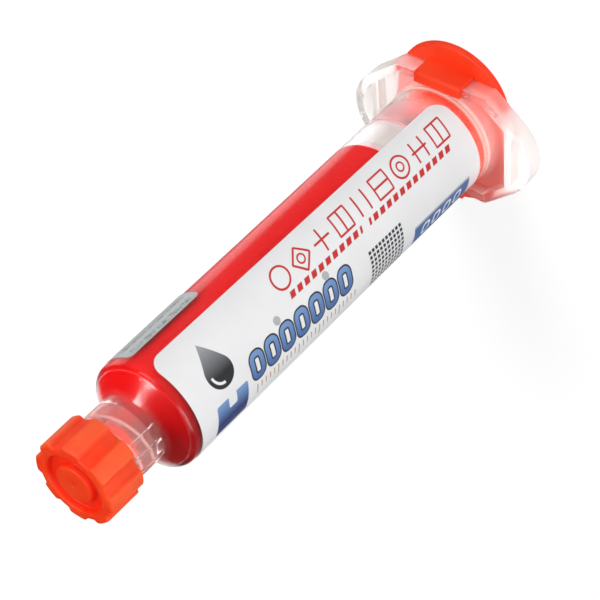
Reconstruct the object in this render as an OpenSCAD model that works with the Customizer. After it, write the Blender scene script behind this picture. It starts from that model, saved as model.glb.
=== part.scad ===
// Capped dispensing syringe filled with paste, standing on its end cap.
// +Z runs along the syringe to the outlet, the ears point along X and the
// clips of the end cap along Y. All sizes are in millimetres.

/* [Barrel] */
// Outside diameter of the tube
barrel_od = 18.6; // [14:0.1:24]
// Wall of the tube
barrel_wall = 1.3; // [0.9:0.05:1.6]
// Length of the barrel from the back of the flange to the shoulder
barrel_len = 77.6; // [66:0.2:100]
// Radius of the rounded shoulder
shoulder_r = 1.2; // [0.6:0.1:2]
// Rise of the nose cone from the shoulder to the collar
nose_rise = 3.15; // [2.8:0.05:5]
// Thickness of the nose under the cone
nose_wall = 1.5; // [1.2:0.1:2]

/* [Flange] */
// Depth of the flange along the axis
flange_h = 3.3; // [2.4:0.1:5]
// Thickness of the flange's back plate
flange_web = 1.2; // [0.8:0.1:1.6]
// Wall around the flange
flange_rim = 1.5; // [1:0.1:2]
// Half width of the flange across its flat sides
flange_half_w = 10.8; // [10.4:0.1:15]
// Half length of a flat side
flange_flat = 8.5; // [7:0.1:9.5]
// Distance of an ear's centre from the axis
ear_centre = 8.8; // [8:0.1:14]
// Radius of an ear
ear_r = 8.1; // [6.5:0.1:9]
// Radius of the flange's blunt corners
flange_corner_r = 0.8; // [0.3:0.1:1.4]
// Distance of the straight rib in an ear from the axis
rib_at = 12.2; // [11:0.1:13]
// Thickness of that rib
rib_t = 1.3; // [0.8:0.1:1.6]
// Fillet where the tube leaves the flange
root_fillet = 1.1; // [0.5:0.1:1.4]
// Growth of the tube's radius down to the flange
root_flare = 0.45; // [0.2:0.05:0.6]
// Height above the flange's rim at which that growth starts
root_rise = 1; // [0.9:0.1:2]

/* [Outlet] */
// Outside diameter of the lock collar
collar_od = 11.7; // [10.8:0.1:12.2]
// Bore of the lock collar
collar_bore = 8.4; // [8:0.1:8.8]
// Height of the collar above the nose
collar_h = 8.2; // [6.6:0.1:9]
// Depth of solid nose at the bottom of the collar
collar_floor = 0.9; // [0.8:0.1:1.5]
// Diameter of the outlet at its tip
tip_d = 4; // [3.8:0.05:4.2]
// How far the outlet stands out of the collar
tip_out = 2.1; // [1.6:0.1:2.6]
// Growth of the outlet's diameter per millimetre
tip_taper = 0.06; // [0.03:0.01:0.08]
// Bore of the outlet
channel_d = 2.2; // [1.6:0.1:2.4]
// Number of grip ribs in each of the collar's two groups
grip_ribs = 3; // [2:1:4]
// Angle between two grip ribs
grip_step = 24; // [18:1:26]
// Radius of a grip rib
grip_rib_r = 0.3; // [0.2:0.05:0.4]

/* [Tip cap] */
// Diameter over the lobes
cap_od = 14.3; // [13.8:0.1:16]
// Depth of the grooves between the lobes
cap_groove = 0.65; // [0.3:0.05:0.7]
// Number of lobes
cap_lobes = 8; // [6:1:12]
// Share of a pitch that a lobe takes at its crest
lobe_share = 0.46; // [0.35:0.01:0.6]
// Length of the cap
cap_len = 6.9; // [6:0.1:7.8]
// Gap between the skirt and the collar
skirt_gap = 0.15; // [0.1:0.05:0.25]
// Height from the outlet's tip to the cap's end face
cap_end = 2.8; // [2.2:0.1:4]
// Depth of the ring-shaped recess in the end face
recess_depth = 1.1; // [0.6:0.1:1.4]
// Outer radius of that recess
recess_r = 5.2; // [4.4:0.1:5.6]
// Radius of the boss inside it
boss_r = 3.2; // [2:0.1:3.6]
// Wall of the sleeve that seals on the outlet
sleeve_wall = 1.3; // [1:0.1:1.45]
// Width of the two lugs on that sleeve
lug_w = 2.2; // [1.6:0.1:3]
// Height of the lugs
lug_h = 0.9; // [0.6:0.1:1.2]
// How far the sleeve reaches into the collar
sleeve_in = 4.8; // [3:0.1:5.2]
// Rounding of the cap's front edge
cap_edge_r = 0.5; // [0.2:0.1:0.8]

/* [End cap] */
// Thickness of the plate that closes the barrel
plate_t = 1.3; // [1:0.1:2]
// Radius of the plate's round ends
plate_r = 10.4; // [9.8:0.1:12]
// Distance of the plate's round ends from the axis
plate_offset = 4.9; // [4:0.1:8]
// Length of the plug inside the barrel
plug_len = 8.8; // [6:0.1:9.6]
// Wall of the plug
plug_wall = 1.2; // [0.8:0.1:1.6]
// Taper of the plug at its front, on the radius
plug_taper = 1.1; // [0.6:0.1:1.4]
// Width of a clip
clip_w = 8.7; // [5:0.1:12]
// Thickness of a clip's arm
clip_arm = 0.7; // [0.5:0.05:1]
// Thickness of a clip's hook
clip_hook = 0.8; // [0.5:0.05:1.2]
// Gap between the hook and the tube
clip_gap = 0.3; // [0.25:0.05:0.8]

/* [Piston] */
// Distance from the plug to the piston
piston_gap = 3.3; // [2:0.1:8]
// Length of the piston between its two lips
piston_len = 8; // [6.5:0.1:11]
// Height of the sealing lips
lip_h = 1.4; // [0.8:0.1:1.8]
// Thickness of the front lip
lip_t = 0.4; // [0.3:0.05:0.55]
// Relief between the lips, on the radius
piston_relief = 0.25; // [0.15:0.05:0.4]
// Wall of the piston
piston_wall = 1.1; // [0.8:0.1:1.5]
// Height of the piston's cone
piston_cone_h = 3; // [2:0.1:3.4]
// Radius of the flat tip of that cone
piston_tip_r = 0.7; // [0.4:0.1:1.5]

/* [Labels] */
// Thickness of the wrap label
label_t = 0.1; // [0.06:0.02:0.2]
// Width of the wrap label around the barrel, as an angle
label_angle = 235; // [150:1:260]
// Distance from the wrap label's back edge to the flange's rim
label_margin = 2.7; // [0.5:0.1:30]
// Distance from the front edge of the labels to the shoulder
label_inset = 1.1; // [0.4:0.1:2]
// Angle of the wrap label's free long edge
label_edge_angle = -91.5; // [-100:0.5:-85]
// Corner radius of the wrap label
label_corner = 2.6; // [1:0.1:4]
// Angle between the two labels
label_gap_angle = 19.5; // [10:0.5:30]
// Length of the batch label
batch_len = 16; // [10:0.5:30]
// Width of the batch label around the barrel, as an angle
batch_angle = 50; // [30:1:70]
// Corner radius of the batch label
batch_corner = 1; // [0.5:0.1:2]

/* [Fits] */
// Gap of the piston's lips in the bore
piston_fit = 0.03; // [0.02:0.01:0.06]
// Gap of the plug in the bore
plug_fit = 0.05; // [0.03:0.01:0.1]
// Gap around the paste
paste_gap = 0.03; // [0.02:0.01:0.05]
// Gap between the outlet and the cap's sleeve
sleeve_fit = 0.04; // [0.02:0.01:0.08]
// Gap between the end cap's clips and the flange
clip_fit = 0.05; // [0.03:0.01:0.15]
// Glue line under the labels
glue_gap = 0.02; // [0.01:0.01:0.04]

/* [Hidden] */
$fn = 96;

barrel_r = barrel_od / 2;
bore_r = barrel_r - barrel_wall;
collar_r = collar_od / 2;

// heights, from the floor up
z_flange = plate_t;
z_web = z_flange + flange_web;
z_rim = z_flange + flange_h;
z_root = z_rim + root_rise;
z_shoulder = z_flange + barrel_len;
z_label = z_shoulder - label_inset;
z_collar = z_shoulder + nose_rise;
z_floor = z_collar + collar_floor;
z_collar_top = z_collar + collar_h;
z_tip = z_collar_top + tip_out;
z_end = z_tip + cap_end;
z_cap = z_end - cap_len;
z_plug = z_flange + plug_len;
z_piston = z_plug + piston_gap;
z_lip = z_piston + piston_len;

// inside of the nose
z_nose_in = z_floor - nose_wall;
nose_in_r = tip_d / 2;

// piston, from the back lip to the cone
z_groove = z_lip - lip_h;
cone_base_r = bore_r - lip_t - 0.9;
z_cone = z_groove + piston_cone_h;

function tangent_angle(d, r) = atan2(d[1], d[0]) - acos(r / norm(d));
function along(a) = [cos(a), sin(a)];
function mirror_x(points) = [for (i = [len(points) - 1:-1:0]) [-points[i][0], points[i][1]]];
function mirror_y(points) = [for (i = [len(points) - 1:-1:0]) [points[i][0], -points[i][1]]];

// direction across a slanting side of the flange
slant = tangent_angle([flange_flat - ear_centre, flange_half_w], ear_r);
// where a flat side, moved in by t, meets the slanting side, moved in by t
function flat_end(t) =
    (ear_r + ear_centre * cos(slant) - t - sin(slant) * (flange_half_w - t)) / cos(slant);

// Outline of the flange, moved in by t, with corners of radius r
module flange_outline(t, r) {
    corner = [flat_end(t + r), flange_half_w - t - r];
    quarter = [
        [ear_centre, 0],
        [ear_centre, 0] + (ear_r - t) * along(slant),
        corner + r * along(slant),
        corner + [0, r]
    ];
    half = concat(quarter, mirror_x(quarter));
    polygon(concat(half, mirror_y(half)));
    for (x = [-1, 1]) {
        translate([x * ear_centre, 0])
            circle(ear_r - t);
        for (y = [-1, 1])
            translate([x * corner[0], y * corner[1]])
                circle(r);
    }
}

// Back plate, wall and ribs of the flange
module flange() {
    translate([0, 0, z_flange]) {
        linear_extrude(flange_web)
            flange_outline(0, flange_corner_r);
        linear_extrude(flange_h)
            difference() {
                flange_outline(0, flange_corner_r);
                flange_outline(flange_rim, flange_corner_r / 2);
            }
        linear_extrude(flange_h)
            intersection() {
                flange_outline(flange_rim / 2, flange_corner_r);
                for (x = [-1, 1])
                    translate([x * (rib_at + rib_t / 2), 0])
                        square([rib_t, 3 * ear_r], center = true);
            }
    }
}

// Half section of the tube, its shoulder and the nose cone
module tube_section() {
    centre = [barrel_r - shoulder_r, z_shoulder];
    slope = tangent_angle([collar_r, z_collar] - centre, shoulder_r);
    translate(centre)
        circle(shoulder_r);
    polygon([
        [0, z_flange],
        [barrel_r, z_flange],
        [barrel_r, z_shoulder],
        centre + shoulder_r * along(slope),
        [collar_r, z_collar],
        [0, z_collar]
    ]);
}

// Half section of the space inside the barrel, narrower by gap
module bore_section(gap) {
    polygon([
        [0, z_flange - 1],
        [bore_r - gap, z_flange - 1],
        [bore_r - gap, z_shoulder - gap],
        [nose_in_r - gap, z_nose_in - gap],
        [channel_d / 2 - gap, z_nose_in + (nose_in_r - channel_d / 2) / 2],
        [channel_d / 2 - gap, z_tip + 1],
        [0, z_tip + 1]
    ]);
}

// Half section of the tube's flared root and its fillet on the flange
module root_ring() {
    inner = bore_r + barrel_wall / 2;
    lean = atan2(root_flare, z_root - z_web);
    level = barrel_r * cos(lean) + z_root * sin(lean) + root_fillet;
    centre = [(level - (z_web + root_fillet) * sin(lean)) / cos(lean), z_web + root_fillet];
    difference() {
        polygon([
            [inner, z_web - 0.1],
            [centre[0], z_web - 0.1],
            centre,
            centre - root_fillet * along(lean),
            [barrel_r, z_root],
            [inner, z_root]
        ]);
        translate(centre)
            circle(root_fillet);
    }
}

// Half section of the collar and of the tapered outlet inside it
module outlet_section() {
    polygon([[0, z_floor], [tip_d / 2 + (z_tip - z_floor) * tip_taper / 2, z_floor],
             [tip_d / 2, z_tip], [0, z_tip]]);
    translate([0, z_collar - 1])
        square([collar_r, collar_floor + 1]);
    translate([collar_bore / 2, z_collar - 1])
        square([collar_r - collar_bore / 2, collar_h + 1]);
}

// Two groups of small ribs that stop the collar from slipping in the fingers
module collar_ribs() {
    low = z_collar + 0.4;
    high = min(z_cap, z_collar_top) - 0.3;
    for (side = [0, 180], i = [0:grip_ribs - 1])
        rotate(side - 165 + (i - (grip_ribs - 1) / 2) * grip_step)
            translate([collar_r, 0, low])
                cylinder(h = high - low, r = grip_rib_r, $fn = 24);
}

module barrel() {
    color([0.9, 0.92, 0.91, 0.45])
        difference() {
            union() {
                flange();
                collar_ribs();
                rotate_extrude() {
                    tube_section();
                    root_ring();
                    outlet_section();
                }
            }
            rotate_extrude()
                bore_section(0);
        }
}

// Half section of the plate's rounded edge
module plate_section(reach) {
    edge = plate_t / 4;
    translate([0, edge])
        square([reach, plate_t - 2 * edge]);
    square([reach - edge, plate_t]);
    for (z = [edge, plate_t - edge])
        translate([reach - edge, z])
            circle(edge, $fn = 32);
}

// Plate with two round ends
module plate() {
    for (y = [-plate_offset, plate_offset])
        translate([0, y, 0])
            rotate_extrude()
                intersection() {
                    plate_section(plate_r);
                    square([plate_r + 1, plate_t]);
                }
    translate([0, plate_offset, 0])
        rotate([90, 0, 0])
            linear_extrude(2 * plate_offset) {
                plate_section(plate_r);
                mirror([1, 0])
                    plate_section(plate_r);
            }
}

// Half section of the hollow plug
module plug_section() {
    r = bore_r - plug_fit;
    seat = plug_len * 0.4;
    edge = plug_wall * 0.45;
    difference() {
        union() {
            polygon([
                [0, 0],
                [r, 0],
                [r, seat],
                [r - plug_taper, plug_len - edge],
                [r - plug_taper - edge, plug_len],
                [0, plug_len]
            ]);
            translate([r - plug_taper - edge, plug_len - edge])
                circle(edge, $fn = 32);
        }
        polygon([
            [-1, 0],
            [r - plug_wall, 0],
            [r - plug_wall, seat],
            [r - plug_taper - plug_wall, plug_len - edge],
            [r - plug_taper - plug_wall, plug_len + 1],
            [-1, plug_len + 1]
        ]);
    }
}

// Side view of a clip: an arm past the flange and a hook over its rim
module clip_section() {
    inner = flange_half_w + clip_fit;
    outer = inner + clip_arm;
    under = z_rim + clip_fit;
    top = under + clip_hook;
    round_r = min(clip_arm, clip_hook) * 0.8;
    translate([inner, plate_t / 2])
        square([clip_arm, top - round_r - plate_t / 2]);
    translate([barrel_r + clip_gap, under])
        square([outer - round_r - barrel_r - clip_gap, clip_hook]);
    translate([inner - 0.01, under])
        square([clip_arm + 0.01, clip_hook - round_r]);
    translate([outer - round_r, top - round_r])
        circle(round_r, $fn = 48);
}

module end_cap() {
    color([1, 0.3, 0.1]) {
        plate();
        translate([0, 0, z_flange - 0.01])
            rotate_extrude()
                plug_section();
        for (side = [0, 180])
            rotate(side)
                translate([-clip_w / 2, 0, 0])
                    rotate([90, 0, 90])
                        linear_extrude(clip_w)
                            clip_section();
    }
}

// Half section of the piston: lips, relieved body, cone and hollow back
module piston_section() {
    r = bore_r - piston_fit;
    body = r - piston_relief;
    hollow = body - piston_wall;
    roof = z_groove - piston_wall;
    difference() {
        polygon([
            [0, z_piston],
            [r - 0.3, z_piston],
            [r, z_piston + 0.3],
            [r, z_piston + lip_h],
            [body, z_piston + lip_h + 0.4],
            [body, z_groove - 0.2],
            [r, z_lip - lip_h / 2],
            [r, z_lip],
            [r - lip_t / 2, z_lip],
            [r - lip_t, z_lip - lip_h / 2],
            [cone_base_r + 0.2, z_groove],
            [cone_base_r, z_groove],
            [piston_tip_r, z_cone],
            [0, z_cone]
        ]);
        polygon([
            [-1, z_piston - 1],
            [hollow, z_piston - 1],
            [hollow, roof - 0.6],
            [hollow - 0.6, roof],
            [-1, roof + (cone_base_r - piston_tip_r) * 0.1]
        ]);
    }
}

module piston() {
    color([0.88, 0.88, 0.86])
        rotate_extrude()
            piston_section();
}

// Half section of the paste, from the piston's face to the tip
module paste_section() {
    g = piston_fit + paste_gap;
    difference() {
        intersection() {
            bore_section(paste_gap);
            translate([0, z_groove])
                square([barrel_r, z_tip - z_groove - 0.1]);
        }
        polygon([
            [-1, z_groove - 1],
            [barrel_r, z_groove - 1],
            [barrel_r, z_lip + paste_gap],
            [bore_r - lip_t / 2 - g, z_lip + paste_gap],
            [bore_r - lip_t - g, z_lip - lip_h / 2],
            [cone_base_r + 0.2, z_groove + g],
            [cone_base_r + g, z_groove + g],
            [piston_tip_r + g, z_cone + paste_gap],
            [-1, z_cone + paste_gap]
        ]);
    }
}

module paste() {
    color([0.85, 0.08, 0.06])
        rotate_extrude()
            paste_section();
}

// One lobe of the cap, with sides that run on past its crest and its foot
module lobe(valley, crest) {
    pitch = 360 / cap_lobes;
    top = pitch * lobe_share / 2;
    a = valley * along(top + pitch * 0.1);
    b = crest * along(top);
    inner = a - 0.4 * (b - a);
    outer = 2 * b - a;
    polygon([
        [0, 0],
        [inner[0], -inner[1]],
        [outer[0], -outer[1]],
        outer,
        inner
    ]);
}

// Outline of the cap with its lobes
module lobed_outline() {
    crest = cap_od / 2;
    valley = crest - cap_groove;
    circle(valley);
    intersection() {
        circle(crest);
        for (i = [0:cap_lobes - 1])
            rotate(-93 + i * 360 / cap_lobes)
                lobe(valley, crest);
    }
}

// Half section of the cap's full body with a rounded front edge
module cap_body_section() {
    r = cap_od / 2 + 0.01;
    translate([0, z_cap])
        square([r, cap_len - cap_edge_r]);
    translate([0, z_cap])
        square([r - cap_edge_r, cap_len]);
    translate([r - cap_edge_r, z_end - cap_edge_r])
        circle(cap_edge_r, $fn = 32);
}

// Half section of what is hollow in the cap: skirt, end recess and gate mark
module cap_hollow_section() {
    translate([0, z_cap - 1])
        square([collar_r + skirt_gap, z_collar_top + 0.3 - z_cap + 1]);
    translate([boss_r, z_end - recess_depth])
        square([recess_r - boss_r, recess_depth + 1]);
    translate([0, z_end - 0.12])
        square([0.5, 1]);
}

// Half section of the sleeve that seals on the outlet
module sleeve_section() {
    foot = z_collar_top - sleeve_in;
    r = tip_d / 2 + (z_tip - foot) * tip_taper / 2 + sleeve_fit + sleeve_wall;
    translate([0, foot])
        square([r, z_collar_top + 0.8 - foot]);
}

// Two lugs that catch the collar's thread
module sleeve_lugs() {
    foot = z_collar_top - sleeve_in;
    reach = collar_bore / 2 - 0.3;
    intersection() {
        translate([0, 0, foot + lug_h / 9])
            cylinder(h = lug_h, r = reach);
        translate([-collar_r, -lug_w / 2, foot + lug_h / 9])
            cube([2 * collar_r, lug_w, lug_h]);
    }
}

// Tapered hole for the outlet
module outlet_hole() {
    low = z_collar_top - sleeve_in - 1;
    high = z_tip + 0.3;
    translate([0, 0, low])
        cylinder(h = high - low,
                 r1 = tip_d / 2 + (z_tip - low) * tip_taper / 2 + sleeve_fit,
                 r2 = tip_d / 2 + (z_tip - high) * tip_taper / 2 + sleeve_fit);
}

module tip_cap() {
    color([1, 0.32, 0.12])
        difference() {
            union() {
                difference() {
                    intersection() {
                        translate([0, 0, z_cap])
                            linear_extrude(cap_len)
                                lobed_outline();
                        rotate_extrude()
                            cap_body_section();
                    }
                    rotate_extrude()
                        cap_hollow_section();
                }
                rotate_extrude()
                    sleeve_section();
                sleeve_lugs();
            }
            outlet_hole();
        }
}

// Sheet glued on the tube: a turns from start, z from low, with round corners
module sheet(start, a, low, len, corner, t) {
    r = barrel_r + glue_gap;
    turn = corner / r * 180 / PI;
    difference() {
        rotate(start)
            rotate_extrude(angle = a, $fn = 360)
                translate([r, low])
                    square([t, len]);
        for (side = [-1, 1], end = [-1, 1])
            rotate(side < 0 ? start + turn : start + a - turn)
                translate([r - corner / 2, 0, end < 0 ? low + corner : low + len - corner])
                    rotate([90, 0, 90])
                        linear_extrude(corner)
                            corner_waste(side, end, corner);
    }
}

// What a round corner of radius r takes off a square one
module corner_waste(side, end, r) {
    arc = [for (i = [0:6]) r * along(15 * i)];
    lead_in = arc[0] + 0.3 * (arc[0] - arc[1]);
    lead_out = arc[6] + 0.3 * (arc[6] - arc[5]);
    points = concat([lead_in], arc, [lead_out, [lead_out[0], r + 1], [r + 1, r + 1], [r + 1, lead_in[1]]]);
    polygon([for (p = points) [side * p[0], end * p[1]]]);
}

module wrap_label() {
    color([0.93, 0.93, 0.94])
        sheet(label_edge_angle - label_angle, label_angle, z_rim + label_margin,
              z_label - z_rim - label_margin, label_corner, label_t);
}

module batch_label() {
    color([0.72, 0.74, 0.75])
        sheet(label_edge_angle + label_gap_angle, batch_angle, z_label - batch_len,
              batch_len, batch_corner, label_t * 0.8);
}

barrel();
end_cap();
piston();
paste();
tip_cap();
wrap_label();
batch_label();
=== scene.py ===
"""Looks of the capped paste syringe: finer meshes, finishes, studio and camera.

Lengths are in millimetres until a mesh is built, which turns them into metres.
The syringe stands on its end cap with its outlet up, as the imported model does.
"""

import logging
import math
from collections.abc import Iterator, Sequence
from contextlib import contextmanager
from dataclasses import dataclass
from enum import Enum
from functools import reduce

import bmesh
import bpy
import numpy as np
from mathutils import Matrix


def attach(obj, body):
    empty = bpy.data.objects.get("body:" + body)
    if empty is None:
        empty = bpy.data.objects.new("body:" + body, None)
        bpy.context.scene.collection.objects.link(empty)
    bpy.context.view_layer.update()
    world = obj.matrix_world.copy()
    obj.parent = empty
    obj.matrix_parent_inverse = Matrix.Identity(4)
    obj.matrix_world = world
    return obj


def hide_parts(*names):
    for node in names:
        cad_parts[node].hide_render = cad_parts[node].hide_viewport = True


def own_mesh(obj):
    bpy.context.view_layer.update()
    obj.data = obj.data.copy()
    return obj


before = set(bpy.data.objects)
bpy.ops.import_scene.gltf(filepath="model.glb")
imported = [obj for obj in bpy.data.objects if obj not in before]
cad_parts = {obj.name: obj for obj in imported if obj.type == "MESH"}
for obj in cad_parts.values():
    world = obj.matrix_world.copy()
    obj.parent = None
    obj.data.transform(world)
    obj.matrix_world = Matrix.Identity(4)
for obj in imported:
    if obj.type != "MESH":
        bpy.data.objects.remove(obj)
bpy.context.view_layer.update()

Array = np.ndarray
Colour = tuple[float, float, float]
Point = tuple[float, float, float]
Ramp = tuple[float, float]
Band = tuple[float, float, float, float]
Mesh = bpy.types.Mesh
Object = bpy.types.Object
Material = bpy.types.Material
Socket = bpy.types.NodeSocket
Inks = list[tuple[Socket, object]]

LOG = logging.getLogger("syringe")
MM = 0.001
FULL_TURN = 2 * math.pi
# Chords of a rounded corner, and the most of a leg that its arc takes
ARC_STEPS = 5
LEG_SHARE = 0.49
# Points around a turned piece
TURN_STEPS = 160
# Distances in metres within which points are one: of a new mesh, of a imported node
WELD = 2e-7
NODE_WELD = 2e-6
# Angles in degrees: a crease that stays sharp, faces that count as flat, an edge to round
CREASE = 32.0
FLAT = 0.4
EDGE = 40.0
# Reach in millimetres over which a label's outer face begins, where its print lies
OUTER_FACE: Ramp = (9.33, 9.35)
# Blur in millimetres of the edges of printed shapes, and of small ones
BLUR = 0.07
SMALL_BLUR = 0.1


class Body(Enum):
    """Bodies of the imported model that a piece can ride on."""

    BARREL = "barrel"
    PISTON = "piston"
    TIP_CAP = "tip_cap"


class Slot(Enum):
    """Material slots of the record."""

    CLEAR = "clear_polypropylene"
    ORANGE = "orange_plastic"
    WAXY = "white_polyethylene"
    PASTE = "red_paste"
    COATED = "white_label"
    FOIL = "grey_label"


class Wrap(Enum):
    """Whether the columns of a grid of points close on themselves."""

    OPEN = 0
    AROUND = 1


def rounded(corners: Sequence[Point]) -> Array:
    """Half section whose corners between its ends are arcs.

    Where two legs meet at the half angle h, an arc of radius q starts q / tan(h) along
    each leg and turns about the point q / sin(h) along the bisector.

    Args:
        corners: rows of radius, height and corner radius.

    Returns:
        Array of (radius, height) rows.
    """
    rows = np.array(corners, float)
    t = np.linspace(0, 1, ARC_STEPS + 1)[:, None]
    parts = []
    for i, (r, z, wanted) in enumerate(rows):
        here = np.array([r, z])
        if wanted <= 0 or i in (0, len(rows) - 1):
            parts.append(here[None])
            continue
        legs = rows[[i - 1, i + 1], :2] - here
        lengths = np.linalg.norm(legs, axis=1)
        legs /= lengths[:, None]
        half = 0.5 * math.acos(float(np.clip(legs[0] @ legs[1], -1, 1)))
        cut = min(wanted / math.tan(half), *(LEG_SHARE * lengths))
        radius = cut * math.tan(half)
        bisector = legs.sum(0) / np.linalg.norm(legs.sum(0))
        centre = here + bisector * radius / math.sin(half)
        start, end = here + legs * cut - centre
        sweep = math.pi - 2 * half
        arc = (start * np.sin((1 - t) * sweep) + end * np.sin(t * sweep)) / math.sin(sweep)
        parts.append(centre + arc)
    return np.concatenate(parts)


def ring(steps: int) -> Array:
    """Equal angles of one turn, in radians."""
    return np.linspace(0, FULL_TURN, steps, endpoint=False)


def polar(r: Array, angle: Array, z: Array) -> Array:
    """Points at (r cos a, r sin a, z), with the three arrays spread over one grid."""
    r, angle, z = np.broadcast_arrays(r, angle, z)
    return np.stack([r * np.cos(angle), r * np.sin(angle), z], -1)


def revolve(section: Array) -> Array:
    """Surface of revolution: every point of a half section is turned about the axis."""
    return polar(section[:, :1], ring(TURN_STEPS), section[:, 1:])


def grid_faces(shape: tuple[int, int], wrap: Wrap) -> Array:
    """Quads of a grid: each joins a point to its neighbours along both directions.

    Args:
        shape: rows and columns of the grid.
        wrap: whether its columns close on themselves.

    Returns:
        Array of four point numbers a face.
    """
    index = np.arange(shape[0] * shape[1]).reshape(shape)
    if wrap is Wrap.AROUND:
        index = np.hstack([index, index[:, :1]])
    corners = [index[:-1, :-1], index[1:, :-1], index[1:, 1:], index[:-1, 1:]]
    return np.stack(corners, -1).reshape(-1, 4)


@contextmanager
def edited(mesh: Mesh) -> Iterator[bmesh.types.BMesh]:
    """Opens a mesh for editing and writes it back afterwards.

    Args:
        mesh: the mesh.

    Yields:
        Its editable copy.
    """
    work = bmesh.new()
    work.from_mesh(mesh)
    yield work
    work.to_mesh(mesh)
    work.free()


def close_shell(mesh: Mesh) -> None:
    """Merges points that coincide, fills open ends and turns the faces outwards.

    Args:
        mesh: the shell's mesh, in metres.
    """
    with edited(mesh) as work:
        bmesh.ops.remove_doubles(work, verts=work.verts, dist=WELD)
        bmesh.ops.holes_fill(work, edges=work.edges, sides=0)
        bmesh.ops.recalc_face_normals(work, faces=work.faces)


def new_object(name: str, data: bpy.types.ID) -> Object:
    """Links a new object that holds a mesh, a lamp or a camera.

    Args:
        name: the object's name.
        data: what it holds.

    Returns:
        The object, at the origin.
    """
    made = bpy.data.objects.new(name, data)
    bpy.context.scene.collection.objects.link(made)
    return made


def new_piece(name: str, mesh: Mesh, crease: float = CREASE) -> Object:
    """Piece whose mesh is shaded smooth up to a crease angle.

    Args:
        name: the piece's name.
        mesh: its mesh, in metres.
        crease: angle in degrees from which an edge stays sharp.

    Returns:
        The piece.
    """
    mesh.shade_smooth()
    mesh.set_sharp_from_angle(angle=math.radians(crease))
    return new_object(name, mesh)


def grid_piece(name: str, grid: Array, crease: float = CREASE) -> Object:
    """Closed piece from a grid of points whose columns run round it.

    Args:
        name: the piece's name.
        grid: points in millimetres, section by angle.
        crease: angle in degrees from which an edge stays sharp.

    Returns:
        The piece.
    """
    mesh = bpy.data.meshes.new(name)
    mesh.from_pydata(grid.reshape(-1, 3) * MM, [], grid_faces(grid.shape[:2], Wrap.AROUND))
    close_shell(mesh)
    return new_piece(name, mesh, crease)


def softened(node: str, name: str, width: float) -> Object:
    """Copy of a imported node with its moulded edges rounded.

    The copy's loose triangles are merged and flat faces joined, and a bevel then turns
    each sharp edge into an arc that lies inside the node's shape.

    Args:
        node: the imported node.
        name: the new piece's name.
        width: size of the rounding, in millimetres.

    Returns:
        The new piece, which stands for the node.
    """
    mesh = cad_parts[node].data.copy()
    mesh.name = name
    with edited(mesh) as work:
        bmesh.ops.remove_doubles(work, verts=work.verts, dist=NODE_WELD)
        bmesh.ops.dissolve_limit(
            work, angle_limit=math.radians(FLAT), verts=work.verts, edges=work.edges
        )
    mesh.shade_smooth()
    piece = new_object(name, mesh)
    bevel = piece.modifiers.new("moulded edges", "BEVEL")
    bevel.width = width * MM
    bevel.segments = 3
    bevel.limit_method = "ANGLE"
    bevel.angle_limit = math.radians(EDGE)
    bevel.harden_normals = True
    bevel.use_clamp_overlap = True
    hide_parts(node)
    return piece


def dress(piece: Object, material: Material, body: Body) -> None:
    """Gives a piece its finish, its body and its material slot, and reports it.

    Args:
        piece: the piece.
        material: its finish.
        body: the body that it rides on.
    """
    piece.data.materials.clear()
    piece.data.materials.append(material)
    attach(piece, body.value)
    LOG.info("%s: %d faces, on %s", piece.name, len(piece.data.polygons), body.value)


class Network:
    """Steps that are added to the node tree of a material or of the world.

    A value is a number, a colour, a vector or the output of another step.
    """

    def __init__(self, tree: bpy.types.NodeTree) -> None:
        """Keeps the tree."""
        self.tree = tree

    def feed(self, socket: Socket, value: object) -> None:
        """Sets an input to a value, or links it to an output.

        Args:
            socket: the input.
            value: the value.
        """
        if isinstance(value, Socket):
            self.tree.links.new(value, socket)
        elif isinstance(value, tuple) and len(value) == 3 and socket.type == "RGBA":
            socket.default_value = (*value, 1.0)
        else:
            socket.default_value = value

    def add(self, kind: str, inputs: dict | None = None, **settings: object) -> bpy.types.Node:
        """Adds a node.

        Args:
            kind: its type.
            inputs: values of its inputs, by name or number.
            settings: values of its properties.

        Returns:
            The node.
        """
        node = self.tree.nodes.new(kind)
        for key, value in settings.items():
            setattr(node, key, value)
        for key, value in (inputs or {}).items():
            self.feed(node.inputs[key], value)
        return node

    def math(self, operation: str, *values: object, clamp: bool = False) -> Socket:
        """Result of one arithmetic step, held from 0 to 1 where it is clamped."""
        inputs = dict(enumerate(values))
        return self.add("ShaderNodeMath", inputs, operation=operation, use_clamp=clamp).outputs[0]

    def times(self, a: object, b: object) -> Socket:
        """Product of two values."""
        return self.math("MULTIPLY", a, b)

    def vector(self, operation: str, *values: object) -> Socket:
        """Result of one step on vectors, a number for a length or a dot product."""
        node = self.add("ShaderNodeVectorMath", dict(enumerate(values)), operation=operation)
        return node.outputs["Value" if operation in ("LENGTH", "DOT_PRODUCT") else "Vector"]

    def parts(self, vector: Socket) -> list[Socket]:
        """The three parts of a vector."""
        return list(self.add("ShaderNodeSeparateXYZ", {0: vector}).outputs)

    def spread(
        self, value: object, low: float, high: float, to_low: object = 0.0, to_high: float = 1.0
    ) -> Socket:
        """Value carried from low..high to to_low..to_high and held at the ends."""
        inputs = dict(enumerate((value, low, high, to_low, to_high)))
        return self.add("ShaderNodeMapRange", inputs, clamp=True).outputs[0]

    def band(self, value: object, edges: Band, top: float = 1.0) -> Socket:
        """Share that rises over the first two edges and falls from a top over the others."""
        rise = self.spread(value, edges[0], edges[1])
        return self.times(rise, self.spread(value, edges[2], edges[3], top, 0))

    def blend(self, share: object, a: object, b: object) -> Socket:
        """Colour between a and b by a share."""
        return self.add("ShaderNodeMix", {0: share, 6: a, 7: b}, data_type="RGBA").outputs[2]


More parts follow.
